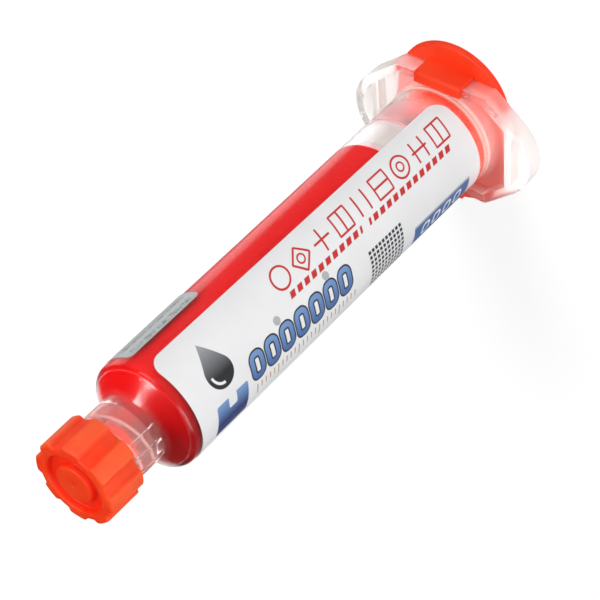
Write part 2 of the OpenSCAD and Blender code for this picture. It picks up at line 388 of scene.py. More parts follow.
class Finish(Network):
    """Nodes of one procedural material around its Principled shader."""

    def __init__(self, name: str) -> None:
        """Starts a material with its Object coordinates.

        Args:
            name: the material's name.
        """
        self.material = bpy.data.materials.new(name)
        self.material.use_nodes = True
        super().__init__(self.material.node_tree)
        self.shader = self.tree.nodes["Principled BSDF"]
        self.place = self.add("ShaderNodeTexCoord").outputs["Object"]

    def set(self, **values: object) -> None:
        """Feeds the shader's own inputs, with _ for a space in their names."""
        for key, value in values.items():
            self.feed(self.shader.inputs[key.replace("_", " ")], value)

    def stretch(self, scale: Point) -> Socket:
        """Object coordinates scaled along each axis."""
        return self.vector("MULTIPLY", self.place, scale)

    def height(self) -> Socket:
        """Height above the base in millimetres."""
        return self.times(self.parts(self.place)[2], 1 / MM)

    def reach(self) -> Socket:
        """Distance from the syringe's axis in millimetres."""
        return self.times(self.vector("LENGTH", self.stretch((1, 1, 0))), 1 / MM)

    def noise(
        self, scale: float, detail: float = 3.0, vector: Socket | None = None, rough: float = 0.5
    ) -> Socket:
        """Noise from 0 to 1.

        Args:
            scale: its features a metre, or a millimetre on a label.
            detail: its octaves.
            vector: where it is read, or None for the Object coordinates.
            rough: share of the finer octaves.

        Returns:
            The noise.
        """
        place = self.place if vector is None else vector
        inputs = {"Vector": place, "Scale": scale, "Detail": detail, "Roughness": rough}
        return self.add("ShaderNodeTexNoise", inputs).outputs["Fac"]

    def bump(self, height: object, depth: float, under: Socket | None = None) -> Socket:
        """Normal bumped by a height of 0 to 1 that stands for a depth in millimetres."""
        inputs = {"Strength": 1.0, "Distance": depth * MM, "Height": height}
        return self.add("ShaderNodeBump", inputs | ({"Normal": under} if under else {})).outputs[0]


@dataclass(frozen=True)
class ClearMoulding:
    """Milky clear polypropylene: hazier in the flange, with faint flow marks.

    Shares called clear count the light that passes. Zones are heights over the base. The
    tints of the plug, collar, plate and root are painted light: pink glows over the plug and in
    the collar, the plate's orange glow in the flange and a cream highlight round the root.
    """

    name: str = Slot.CLEAR.value
    colour: Colour = (0.985, 0.985, 0.98)
    clear: float = 0.995
    flange_clear: float = 0.50
    collar_clear: float = 0.91
    ear_haze: float = -0.08
    # Clouding under the plug's painted pink glow and under the root's painted highlight
    painted_glow_haze: float = -0.34
    root_highlight_haze: float = -0.56
    ear: Colour = (0.92, 0.91, 0.89)
    # Painted light: the orange plate's glow carried by the flange's haze
    lit: Colour = (0.93, 0.48, 0.44)
    # Painted light: the red paste's pink glow in the collar's haze
    painted_neck_light: Colour = (0.995, 0.70, 0.66)
    # Painted light: a pink glow over the plug and the piston's back
    glow: Colour = (0.985, 0.62, 0.62)
    # Painted highlight: cream colour round the flange's root
    root_highlight: Colour = (0.99, 0.88, 0.78)
    flange_top: Ramp = (3.0, 5.2)
    painted_glow_zone: Band = (7.5, 11.0, 13.2, 15.5)
    root_highlight_zone: Band = (4.3, 4.5, 4.9, 5.3)
    root_highlight_reach: Ramp = (10.3, 10.5)
    collar_root: Ramp = (81.4, 82.3)
    ear_start: Ramp = (10.0, 10.9)
    # Shifts the ears' start sideways, so the plate's painted glow reaches further on one side
    lean: float = 1.0
    # The plate's painted glow fades across the flange, paler on one side
    lit_fade: Band = (0.0, 8.0, 1.0, 0.35)
    roughness: float = 0.19
    flange_roughness: float = 0.55
    flow_rough: float = 0.04
    flow_clear: float = 0.008
    shadow: float = 0.12

    def material(self) -> Material:
        """Lays the hazes of the flange, ears and collar over the tube, and tints of painted light.

        Returns:
            The material.
        """
        net = Finish(self.name)
        height = net.height()
        across = net.times(net.parts(net.place)[0], 1 / MM)
        flow = net.noise(160, 2, net.stretch((1, 1, 0.25)))
        low = net.spread(height, *self.flange_top, 1, 0)
        high = net.spread(height, *self.collar_root)
        side = net.math("ABSOLUTE", net.math("ADD", across, self.lean))
        ear = net.times(low, net.spread(side, *self.ear_start))
        # Painted pink glow over the plug
        glow = net.band(height, self.painted_glow_zone)
        # Painted highlight: a cream band round the flange's root, clouded so that it shows
        root_highlight = net.band(height, self.root_highlight_zone)
        root_highlight = net.times(root_highlight, net.spread(net.reach(), *self.root_highlight_reach, 1, 0))
        clear = self.clear
        for share, change in (
            (low, self.flange_clear - self.clear), (ear, self.ear_haze),
            (high, self.collar_clear - self.clear), (glow, self.painted_glow_haze),
            (root_highlight, self.root_highlight_haze),
        ):
            clear = net.math("MULTIPLY_ADD", share, change, clear)
        clear = net.math("ADD", clear, net.spread(flow, 0.3, 0.7, -self.flow_clear, self.flow_clear))
        matt = net.times(low, net.spread(root_highlight, 0, 1, 1, 0))
        rough = net.spread(matt, 0, 1, self.roughness, self.flange_roughness)
        rough = net.math("ADD", rough, net.spread(flow, 0.3, 0.7, -self.flow_rough, self.flow_rough))
        # Painted orange glow of the plate in the flange, paler towards one side
        over = net.times(net.math("SUBTRACT", low, ear), net.spread(across, *self.lit_fade))
        colour = self.colour
        # Tints over the plastic; those of the plug, collar, plate and root are painted light
        for share, tint in (
            (glow, self.glow), (high, self.painted_neck_light), (ear, self.ear), (over, self.lit), (root_highlight, self.root_highlight)
        ):
            colour = net.blend(share, colour, tint)
        is_shadow = net.add("ShaderNodeLightPath").outputs["Is Shadow Ray"]
        net.set(
            Base_Color=colour,
            Alpha=net.spread(is_shadow, 0, 1, 1, self.shadow),
            IOR=1.49,
            Subsurface_Weight=1.0,
            Subsurface_Radius=(1.0, 1.0, 1.0),
            Subsurface_Scale=0.003,
            Transmission_Weight=clear,
            Roughness=rough,
            Normal=net.bump(net.noise(2600, 2), 0.004, net.bump(flow, 0.012)),
        )
        return net.material


@dataclass(frozen=True)
class OrangeMoulding:
    """Satin orange plastic with a fine grain, a painted sheen on its crests and painted glow and
    shade in its recess.

    A piece without crests or a recess has them past its own size.
    """

    name: str = Slot.ORANGE.value
    colour: Colour = (0.95, 0.064, 0.007)
    deep: Colour = (0.90, 0.052, 0.005)
    # Painted sheen: the paler colour of the crests
    wear_and_sheen: Colour = (0.97, 0.105, 0.022)
    crest: Ramp = (90.0, 91.0)
    # Painted glow and shade: the recess is a redder orange
    recess_glow_and_shade: Colour = (1.0, 0.024, 0.002)
    pit_reach: Band = (2.9, 3.2, 5.1, 5.4)
    pit_end: float = 200.0
    pit_under: Band = (1.6, 1.5, 0.9, 0.1)
    roughness: float = 0.5
    soaked: float = 0.25
    soak_depth: float = 0.0012

    def material(self) -> Material:
        """Clouds the colour, paints the recess redder as glow and shade, and the crests paler as
        sheen.

        Returns:
            The material.
        """
        net = Finish(self.name)
        cloud = net.noise(220, 3)
        reach, height = net.reach(), net.height()
        colour = net.blend(net.spread(cloud, 0.35, 0.65), self.deep, self.colour)
        # Painted glow and shade in the recess
        walls = net.band(height, tuple(self.pit_end - under for under in self.pit_under), 0.9)
        recess_glow_and_shade = net.times(net.band(reach, self.pit_reach), walls)
        # Painted sheen on the crests, patchy
        crest_sheen = net.times(net.spread(reach, *self.crest), net.spread(cloud, 0.3, 0.6, 0.6, 1.0))
        net.set(
            Base_Color=net.blend(crest_sheen, net.blend(recess_glow_and_shade, colour, self.recess_glow_and_shade), self.wear_and_sheen),
            Roughness=net.spread(cloud, 0.3, 0.7, self.roughness - 0.05, self.roughness + 0.06),
            Subsurface_Weight=self.soaked,
            Subsurface_Radius=(1.0, 0.25, 0.08),
            Subsurface_Scale=self.soak_depth,
            Specular_IOR_Level=0.4,
            IOR=1.46,
            Normal=net.bump(net.noise(3200, 2), 0.006, net.bump(cloud, 0.03)),
        )
        return net.material


@dataclass(frozen=True)
class WaxyMoulding:
    """Pale, slightly translucent polyethylene of the piston, with paste on its lips."""

    name: str = Slot.WAXY.value
    colour: Colour = (0.53, 0.47, 0.455)
    shade: Colour = (0.48, 0.42, 0.405)
    film: Colour = (0.80, 0.24, 0.26)
    lips: tuple[Band, ...] = ((13.3, 13.5, 14.4, 14.7), (20.7, 20.9, 21.2, 21.5))
    roughness: float = 0.45

    def material(self) -> Material:
        """Clouds the colour and lays a film of paste on each lip.

        Returns:
            The material.
        """
        net = Finish(self.name)
        cloud = net.noise(300, 3)
        height = net.height()
        smeared = net.spread(cloud, 0.2, 0.5)
        colour = net.blend(net.spread(cloud, 0.35, 0.65), self.shade, self.colour)
        for lip in self.lips:
            colour = net.blend(net.times(net.band(height, lip, 0.7), smeared), colour, self.film)
        net.set(
            Base_Color=colour,
            Roughness=self.roughness,
            Subsurface_Weight=0.4,
            Subsurface_Radius=(1.0, 0.8, 0.7),
            Subsurface_Scale=0.001,
            IOR=1.5,
            Normal=net.bump(net.noise(2400, 2), 0.006),
        )
        return net.material


@dataclass(frozen=True)
class WetPaste:
    """Glossy red paste with faint streaks and a few trapped air bubbles."""

    name: str = Slot.PASTE.value
    colour: Colour = (0.70, 0.004, 0.004)
    deep: Colour = (0.60, 0.002, 0.003)
    bubble: Colour = (0.95, 0.16, 0.12)
    # Painted shade: the paste darkens to this colour towards the side that the next direction points
    # to
    painted_shade: Colour = (0.27, 0.001, 0.002)
    shaded_side: Point = (-0.97, 0.26, 0.0)
    roughness: float = 0.3

    def material(self) -> Material:
        """Streaks the colour, darkens it with painted shade towards one side, adds bubbles.

        Returns:
            The material.
        """
        net = Finish(self.name)
        streaks = net.noise(90, 3, net.stretch((1, 1, 0.3)))
        cells = net.add("ShaderNodeTexVoronoi", {"Vector": net.place, "Scale": 190.0})
        rare = net.spread(net.parts(cells.outputs["Color"])[0], 0.72, 0.73)
        bubbles = net.times(rare, net.spread(cells.outputs["Distance"], 0.06, 0.02))
        body = net.blend(net.spread(streaks, 0.35, 0.65), self.deep, self.colour)
        # Painted shade: darker towards one side
        outwards = net.vector("NORMALIZE", net.stretch((1, 1, 0)))
        painted_shade = net.spread(net.vector("DOT_PRODUCT", outwards, self.shaded_side), -0.25, 0.95)
        net.set(
            Base_Color=net.blend(bubbles, net.blend(painted_shade, body, self.painted_shade), self.bubble),
            Roughness=self.roughness,
            Specular_IOR_Level=0.06,
            IOR=1.5,
            Normal=net.bump(bubbles, 0.05, net.bump(streaks, 0.03)),
        )
        return net.material


class Sheet(Finish):
    """Nodes of a label's finish, with plain shapes drawn on it.

    A place is q millimetres along the label, from its front end, and p across it, from
    its free edge. A shape is the distance from its edge, negative inside it.
    """

    def __init__(self, name: str, size: Ramp) -> None:
        """Starts the finish with the place on the label, from its UV map.

        Args:
            name: the material's name.
            size: the label's width and length.
        """
        super().__init__(name)
        uv = self.add("ShaderNodeUVMap", uv_map="label").outputs[0]
        self.flat = self.vector("MULTIPLY", uv, (*size, 0.0))
        self.p, self.q, _ = self.parts(self.flat)
        self.outer = self.spread(self.reach(), *OUTER_FACE)

    def at(self, q: float, p: float, slant: float = 0.0) -> tuple[Socket, Socket]:
        """Distances along and across from a point, with the axis across leaning by a slant."""
        y = self.math("SUBTRACT", self.p, p)
        return self.math("MULTIPLY_ADD", y, slant, self.math("SUBTRACT", self.q, q)), y

    def row(self, q: float, p: float, pitch: float, slant: float = 0.0) -> tuple[Socket, ...]:
        """Row of equal cells.

        Args:
            q: where the first cell starts.
            p: place of the row's middle across the label.
            pitch: length of a cell.
            slant: how far the axis across leans for each millimetre.

        Returns:
            Number of the cell, and distances along and across from its middle.
        """
        x, y = self.at(q, p, slant)
        turns = self.math("DIVIDE", x, pitch)
        number = self.math("FLOOR", turns)
        offset = self.math("SUBTRACT", self.math("SUBTRACT", turns, number), 0.5)
        return number, self.times(offset, pitch), y

    def box(self, x: Socket, y: Socket, half_x: float, half_y: float, corner: float = 0.0) -> Socket:
        """Rounded box: outside it the distance is the length to its nearest point.

        Args:
            x: distance from its middle along the label.
            y: distance from its middle across the label.
            half_x: half its length.
            half_y: half its width.
            corner: radius of its corners.

        Returns:
            The shape.
        """
        over = self.vector("ABSOLUTE", self.add("ShaderNodeCombineXYZ", {0: x, 1: y}).outputs[0])
        over = self.vector("SUBTRACT", over, (half_x - corner, half_y - corner, 0.0))
        outside = self.vector("LENGTH", self.vector("MAXIMUM", over, (0.0, 0.0, 0.0)))
        over_x, over_y, _ = self.parts(over)
        inside = self.math("MINIMUM", self.math("MAXIMUM", over_x, over_y), 0.0)
        return self.math("SUBTRACT", self.math("ADD", outside, inside), corner)

    def disc(self, x: Socket, y: Socket, radius: float) -> Socket:
        """Disc: a box that is all corners."""
        return self.box(x, y, radius, radius, radius)

    def line(self, shape: Socket, width: float) -> Socket:
        """Line drawn along the edge of a shape."""
        return self.math("SUBTRACT", self.math("ABSOLUTE", shape), width / 2)

    def join(self, *shapes: Socket) -> Socket:
        """Several shapes together."""
        return reduce(lambda a, b: self.math("MINIMUM", a, b), shapes)

    def within(self, shape: Socket, limit: Socket) -> Socket:
        """The part of one shape that lies inside another."""
        return self.math("MAXIMUM", shape, limit)

    def without(self, shape: Socket, hole: Socket) -> Socket:
        """The part of one shape that lies outside another."""
        return self.within(shape, self.times(hole, -1.0))

    def ink(self, shape: Socket, blur: float = BLUR) -> Socket:
        """Share of ink: 1 inside a shape and 0 outside, over its edge's blur."""
        return self.math("MULTIPLY_ADD", shape, -1 / blur, 0.5, clamp=True)


@dataclass(frozen=True)
class CoatedLabel:
    """Coated white label with a print of plain shapes; its UV map runs over its sides.

    Each motif is a method with its own places, q before p, and sizes in millimetres.
    """

    size: Ramp
    name: str = Slot.COATED.value
    colour: Colour = (0.80, 0.80, 0.81)
    roughness: float = 0.34
    red: Colour = (0.55, 0.022, 0.02)
    navy: Colour = (0.012, 0.03, 0.16)
    blue: Colour = (0.06, 0.14, 0.38)
    sky: Colour = (0.16, 0.29, 0.56)
    black: Colour = (0.02, 0.021, 0.025)
    grey: Colour = (0.42, 0.43, 0.45)
    tan: Colour = (0.48, 0.30, 0.15)
    heading_lean: float = 0.22
    bar_lean: float = 0.5
    frame_lean: float = 0.12
    ring_lean: float = 0.15
    dot_pitch: float = 0.86

    def material(self) -> Material:
        """Lays each motif's ink over the coated paper, rubbed thin in places.

        Returns:
            The material.
        """
        net = Sheet(self.name, self.size)
        fibre = net.noise(0.9, 4, net.flat, 0.6)
        wave = net.noise(0.12, 2, net.flat)
        dull = tuple(0.965 * part for part in self.colour)
        wear_and_sheen = net.spread(net.noise(3.5, 5, net.flat, 0.7), 0.27, 0.33, 0.5, 1.0)
        wear_and_sheen = net.times(wear_and_sheen, net.outer)
        colour = net.blend(net.spread(wave, 0.35, 0.65), dull, self.colour)
        for motif in (self.heading, self.drop, self.big_row, self.scale, self.dots, self.patch):
            for share, ink in motif(net):
                colour = net.blend(net.times(share, wear_and_sheen), colour, ink)
        net.set(
            Base_Color=colour,
            Roughness=net.spread(fibre, 0.3, 0.7, self.roughness - 0.05, self.roughness + 0.07),
            Coat_Weight=0.25,
            Coat_Roughness=0.2,
            IOR=1.48,
            Normal=net.bump(fibre, 0.004, net.bump(wave, 0.03)),
        )
        return net.material

    def heading(self, net: Sheet) -> Inks:
        """Red row of nine line-drawn shapes over a row of small slanted bars.

        A cell's number picks which of the shapes it shows: the others are moved far away.

        Args:
            net: the label's nodes.

        Returns:
            Shares of ink with their inks.
        """
        far = 10.0
        number, x, y = net.row(23.0, 4.1, 5.0, self.heading_lean)
        rail = net.math("SUBTRACT", net.math("ABSOLUTE", x), 1.15)
        diamond = net.box(net.math("ADD", x, y), net.math("SUBTRACT", x, y), 2.0, 2.0, 0.2)
        shapes = (
            (net.line(net.disc(x, y, 1.75), 0.36), (0, 6)),
            (net.line(diamond, 0.5), (1,)),
            (net.box(x, y, 0.18, 1.9), (2, 3, 8)),
            (net.box(x, y, 1.8, 0.18), (2, 5, 7)),
            (net.line(net.box(x, y, 1.75, 1.75, 0.1), 0.34), (3, 5, 8)),
            (net.box(rail, y, 0.18, 1.8), (4, 7)),
            (net.line(net.disc(x, y, 0.7), 0.3), (6, 1)),
        )
        shown = []
        for shape, cells in shapes:
            away = far
            for cell in cells:
                here = net.math("COMPARE", number, float(cell), 0.1)
                away = net.math("MULTIPLY_ADD", here, -far, away)
            shown.append(net.math("ADD", shape, away))
        limit = net.box(*net.at(45.5, 4.1, self.heading_lean), 22.5, 3.0)
        title = net.within(net.join(*shown), limit)
        _, x, y = net.row(24.4, 7.1, 1.72, self.bar_lean)
        bars = net.box(x, y, 0.56, 0.5)
        bars = net.within(bars, net.box(*net.at(45.2, 7.1, self.bar_lean), 20.6, 1.0))
        bars = net.without(bars, net.box(*net.at(43.3, 7.1, self.bar_lean), 0.9, 1.0))
        return [(net.ink(title), self.red), (net.ink(bars, SMALL_BLUR), self.red)]

    def drop(self, net: Sheet) -> Inks:
        """Dark drop with a pale spot: a disc joined with two tangents to its tip.

        The tip lies at the distance d over the middle of a disc of radius q, so its
        tangents slope by the angle whose sine is q / d.

        Args:
            net: the label's nodes.

        Returns:
            Shares of ink with their inks.
        """
        radius, tip_at, sine, cosine = 2.6, 5.1, 0.509, 0.861
        x, y = net.at(7.2, 8.0)
        side = net.times(net.math("ABSOLUTE", x), cosine)
        slope = net.math("MULTIPLY_ADD", net.math("ADD", y, tip_at), -sine, side)
        tip = net.within(slope, net.math("ADD", y, 1.32))
        body = net.join(net.disc(x, y, radius), tip)
        spot = net.line(net.disc(x, y, 1.75), 0.42)
        return [
            (net.ink(body), net.blend(net.spread(y, -6, 0.5), self.grey, self.black)),
            (net.ink(net.within(spot, net.without(x, y))), self.colour),
        ]

    def big_row(self, net: Sheet) -> Inks:
        """Blue block and row of seven rounded frames that darken towards their foot.

        Args:
            net: the label's nodes.

        Returns:
            Shares of ink with their inks.
        """
        x, y = net.at(7.0, 15.0, self.frame_lean)
        notch = net.box(x, net.math("ADD", y, 2.9), 0.9, 1.9, 0.3)
        block = net.without(net.box(x, y, 3.5, 2.8, 0.4), notch)
        fall = net.blend(net.spread(y, -2.4, 0.6), self.sky, self.navy)
        _, x, z = net.row(11.9, 11.5, 3.55, self.frame_lean)
        limit = net.box(*net.at(24.3, 11.5, self.frame_lean), 12.42, 3.0)
        frames = net.line(net.box(x, z, 1.05, 1.7, 0.85), 1.1)
        foot = net.blend(net.spread(z, -1.8, 1.8), self.sky, self.blue)
        spots = net.join(net.disc(*net.at(20.2, 8.4), 0.7), net.disc(*net.at(31.9, 8.5), 0.7))
        return [
            (net.ink(block), fall),
            (net.ink(net.within(frames, limit)), foot),
            (net.ink(net.within(net.line(frames, 0.26), limit)), self.black),
            (net.ink(spots), self.grey),
        ]

    def scale(self, net: Sheet) -> Inks:
        """Tan scale of fine strokes, each fifth one longer.

        Args:
            net: the label's nodes.

        Returns:
            Share of ink with its ink.
        """
        number, x, y = net.row(12.2, 14.5, 1.0)
        fifth = net.math("COMPARE", net.math("WRAP", number, 5.0, 0.0), 0.0, 0.1)
        end = net.math("SUBTRACT", y, net.math("MULTIPLY_ADD", fifth, 0.9, 1.3))
        strokes = net.within(net.box(x, y, 0.13, 4.0), end)
        strokes = net.within(strokes, net.box(*net.at(24.7, 15.5), 12.6, 1.0))
        return [(net.ink(strokes, SMALL_BLUR), self.tan)]

    def dots(self, net: Sheet) -> Inks:
        """Square field of equal dark squares.

        Args:
            net: the label's nodes.

        Returns:
            Share of ink with its ink.
        """
        _, x, _ = net.row(41.0, 0.0, self.dot_pitch)
        rise = net.math("DIVIDE", net.math("SUBTRACT", net.p, 10.5), self.dot_pitch)
        y = net.times(net.math("SUBTRACT", net.math("FRACT", rise), 0.5), self.dot_pitch)
        dots = net.within(net.box(x, y, 0.29, 0.29), net.box(*net.at(45.3, 14.37), 4.3, 3.87))
        return [(net.ink(dots, SMALL_BLUR), self.black)]

    def patch(self, net: Sheet) -> Inks:
        """Blue patch with four pale rings.

        Args:
            net: the label's nodes.

        Returns:
            Shares of ink with their inks.
        """
        patch = net.box(*net.at(60.0, 16.2), 7.5, 2.2)
        _, x, y = net.row(54.2, 16.1, 2.9, self.ring_lean)
        rings = net.line(net.box(x, y, 0.8, 1.0, 0.5), 0.42)
        rings = net.within(rings, net.box(*net.at(60.0, 16.1, self.ring_lean), 5.8, 1.8))
        rim = net.box(*net.at(60.0, 14.1), 7.5, 0.22)
        return [(net.ink(patch), self.blue), (net.ink(rings), self.colour), (net.ink(rim), self.grey)]


@dataclass(frozen=True)
class FoilLabel:
    """Silver-grey label with rows of tiny printed dots, too small to read."""

    size: Ramp
    name: str = Slot.FOIL.value
    colour: Colour = (0.47, 0.50, 0.50)
    ink: Colour = (0.16, 0.17, 0.17)
    margin: float = 1.2

    def material(self) -> Material:
        """Prints the cells of a fine grid that a dice picks, in rows.

        Returns:
            The material.
        """
        net = Sheet(self.name, self.size)
        cell = net.vector("FLOOR", net.vector("MULTIPLY", net.flat, (3.2, 4.5, 0.0)))
        dice = net.add("ShaderNodeTexWhiteNoise", {"Vector": cell}, noise_dimensions="2D")
        row = net.math("FRACT", net.times(net.p, 0.52))
        printed = net.times(net.spread(row, 0.50, 0.54), net.spread(dice.outputs["Value"], 0.45, 0.5))
        near, length = self.margin, self.size[1]
        margin = net.band(net.q, (near, near + 0.1, length - near - 0.1, length - near))
        share = net.times(net.times(printed, margin), net.outer)
        net.set(
            Base_Color=net.blend(net.times(share, 0.75), self.colour, self.ink),
            Metallic=0.25,
            Roughness=net.spread(net.noise(0.8, 3, net.flat), 0.3, 0.7, 0.3, 0.42),
            Normal=net.bump(net.noise(0.5, 3, net.flat), 0.02),
        )
        return net.material


@dataclass
class Barrel:
    """Clear barrel with the lock thread inside its collar."""

    edge: float = 0.18
    collar_bore: float = 4.2
    thread_depth: float = 0.24
    thread_half: float = 0.24
    thread_foot: float = 0.4
    sunk: float = 0.02
    run_out: float = 0.06
    lead: float = 5.0
    thread_low: float = 83.3
    thread_high: float = 89.9
    phase: float = -0.98
    finish: ClearMoulding = ClearMoulding()
    # The thread's clouded cream colour in the collar is a painted highlight that shows it as pale
    # lines
    thread_finish: ClearMoulding = ClearMoulding(
        name="thread_polypropylene", collar_clear=0.25, painted_neck_light=(0.99, 0.95, 0.91)
    )

    def thread(self, start: float) -> Array:
        """One start of the lock thread.

        Its middle line climbs the bore at one lead a turn. Across it, a half circle
        stretched to the thread's width stands inwards on a shallow foot that is sunk in
        the wall, and both ends taper to nearly nothing over the run-out's share.

        Args:
            start: turn at which it begins, as an angle.

        Returns:
            Grid of points, along by across.
        """
        climb = self.thread_high - self.thread_low
        s = np.linspace(0, 1, 181)[:, None]
        t = ring(16)
        taper = np.clip(np.minimum(s, 1 - s) / self.run_out, 0.02, 1)
        angle = self.phase + start + FULL_TURN * climb / self.lead * s
        depth = self.thread_depth * taper * np.clip(np.sin(t), -self.thread_foot, 1)
        z = self.thread_low + climb * s + self.thread_half * taper * np.cos(t)
        return polar(self.collar_bore + self.sunk - depth, angle, z)

    def build(self) -> None:
        """Makes the shell and both starts of its thread."""
        shell = softened("barrel", "barrel_shell", self.edge)
        dress(shell, self.finish.material(), Body.BARREL)
        material = self.thread_finish.material()
        for number, start in enumerate((0.0, math.pi), 1):
            piece = grid_piece(f"collar_thread_{number}", self.thread(start))
            dress(piece, material, Body.BARREL)


@dataclass
class Paste:
    """Red paste: the column that shortens with the piston and the fill of the nose."""

    bore_r: float = 8.02
    back: float = 20.06
    cone_r: float = 6.73
    cone_tip_r: float = 0.73
    cone_top: float = 23.03
    lip: float = 21.43
    lip_foot_r: float = 7.54
    lip_edge_r: float = 7.80
    front: float = 78.9
    nose_back: float = 78.6
    nose_r: float = 2.02
    nose_z: float = 81.46
    channel_r: float = 1.12
    tip: float = 92.2
    limit: float = 77.06
    finish: WetPaste = WetPaste()
    # Painted shade: the fill of the nose is a darker red than the column
    shaded_nose_finish: WetPaste = WetPaste(
        name="red_paste_nose", colour=(0.63, 0.002, 0.002), deep=(0.55, 0.001, 0.002)
    )

    def column(self) -> Array:
        """Half section of the column, from the piston's cone to the shoulder.

        Returns:
            Array of (radius, height) rows.
        """
        return rounded([
            (0, self.cone_top, 0),
            (self.cone_tip_r, self.cone_top, 0),
            (self.cone_r, self.back, 0),
            (self.lip_foot_r, self.back, 0),
            (self.lip_edge_r, self.lip, 0.1),
            (self.bore_r, self.lip, 0.06),
            (self.bore_r, self.front, 0),
            (0, self.front, 0),
        ])

    def nose(self) -> Array:
        """Half section of the fill of the nose and the outlet's channel.

        Returns:
            Array of (radius, height) rows.
        """
        return rounded([
            (0, self.nose_back, 0),
            (self.bore_r - 0.01, self.nose_back, 0),
            (self.bore_r - 0.01, self.front, 0.3),
            (self.nose_r, self.nose_z, 0.3),
            (self.channel_r, self.nose_z + 0.5, 0.2),
            (self.channel_r, self.tip, 0.3),
            (0, self.tip, 0),
        ])

    def build(self) -> None:
        """Makes both pieces, the column with a mesh of its own."""
        column = grid_piece("paste_column", revolve(self.column()))
        dress(column, self.finish.material(), Body.BARREL)
        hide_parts("paste")
        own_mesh(column)
        nose = grid_piece("paste_nose", revolve(self.nose()))
        dress(nose, self.shaded_nose_finish.material(), Body.BARREL)


@dataclass
class Piston:
    """Wiper piston with two lips, a relieved body, a cone and a hollow back."""

    r: float = 7.97
    relief: float = 0.25
    wall: float = 1.1
    low: float = 13.4
    lip_h: float = 1.4
    groove: float = 20.0
    top: float = 21.4
    cone: float = 23.0
    cone_r: float = 6.7
    cone_tip_r: float = 0.7
    finish: WaxyMoulding = WaxyMoulding()

    def section(self) -> Array:
        """Half section from the axis under the roof, round the lips, to the cone's tip.

        Returns:
            Array of (radius, height) rows.
        """
        body = self.r - self.relief
        hollow = body - self.wall
        roof = self.groove - self.wall
        return rounded([
            (0, roof + 0.5, 0),
            (hollow - 0.6, roof, 0.2),
            (hollow, roof - 0.6, 0.3),
            (hollow, self.low, 0.15),
            (self.r - 0.3, self.low, 0.1),
            (self.r, self.low + 0.3, 0.15),
            (self.r, self.low + self.lip_h, 0.15),
            (body, self.low + self.lip_h + 0.4, 0.2),
            (body, self.groove - 0.2, 0.3),
            (self.r, self.top - self.lip_h / 2, 0.2),
            (self.r, self.top, 0.06),
            (self.r - 0.2, self.top, 0.06),
            (self.r - 0.4, self.top - self.lip_h / 2, 0.15),
            (self.cone_r + 0.2, self.groove, 0.2),
            (self.cone_r, self.groove, 0.05),
            (self.cone_tip_r, self.cone, 0.3),
            (0, self.cone, 0),
        ])

    def build(self) -> None:
        """Makes the piston."""
        piece = grid_piece("wiper_piston", revolve(self.section()))
        dress(piece, self.finish.material(), Body.PISTON)
        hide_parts("piston")


